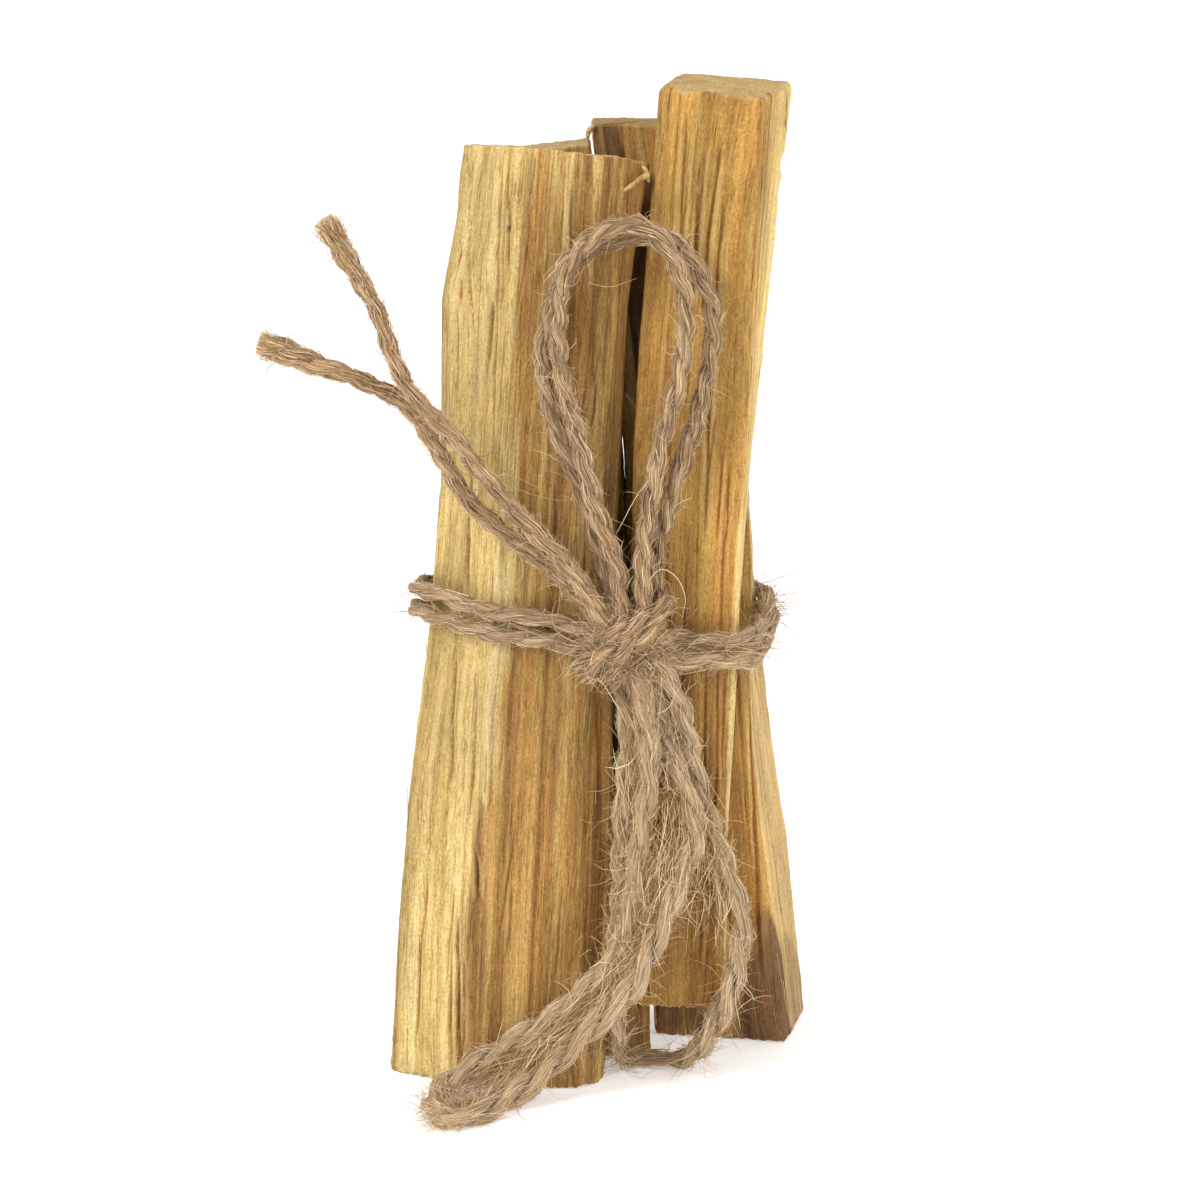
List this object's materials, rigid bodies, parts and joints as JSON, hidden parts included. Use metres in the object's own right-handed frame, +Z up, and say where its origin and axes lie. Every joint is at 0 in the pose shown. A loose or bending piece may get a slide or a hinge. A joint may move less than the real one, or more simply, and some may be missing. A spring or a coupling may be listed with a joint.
{
  "type": "tied palo santo stick bundle",
  "caption": "Split palo santo sticks standing in a bundle, tied at the waist with doubled jute twine in a bow.",
  "frame": {"origin": "on the surface that the bundle stands on, at the middle of the box of the sticks, the band and the knot", "axes": "+Z up along the sticks, -Y towards the bow, +X to the right seen from the bow's side"},
  "size_m": [0.0575, 0.0388, 0.1073],
  "materials": {
    "wood_front_left": "raw split wood, pale sapwood on the left face",
    "wood_front_right": "raw split wood, golden",
    "wood_back_left": "raw split wood, tan",
    "wood_back_right": "raw split wood, light tan with dark heartwood patches",
    "jute_twine": "hairy two-ply jute, undyed"
  },
  "bodies": {
    "root": {"stick_front_left": "wood_front_left", "stick_front_right": "wood_front_right", "stick_back_left": "wood_back_left", "stick_back_right": "wood_back_right", "band_upper_strand": "jute_twine", "band_lower_strand": "jute_twine", "twine_knot": "jute_twine", "bow_loop_outer": "jute_twine", "bow_loop_inner": "jute_twine", "cut_end_upper": "jute_twine", "cut_end_lower": "jute_twine", "folded_tail": "jute_twine", "hanging_loop": "jute_twine"}
  },
  "joints": []
}
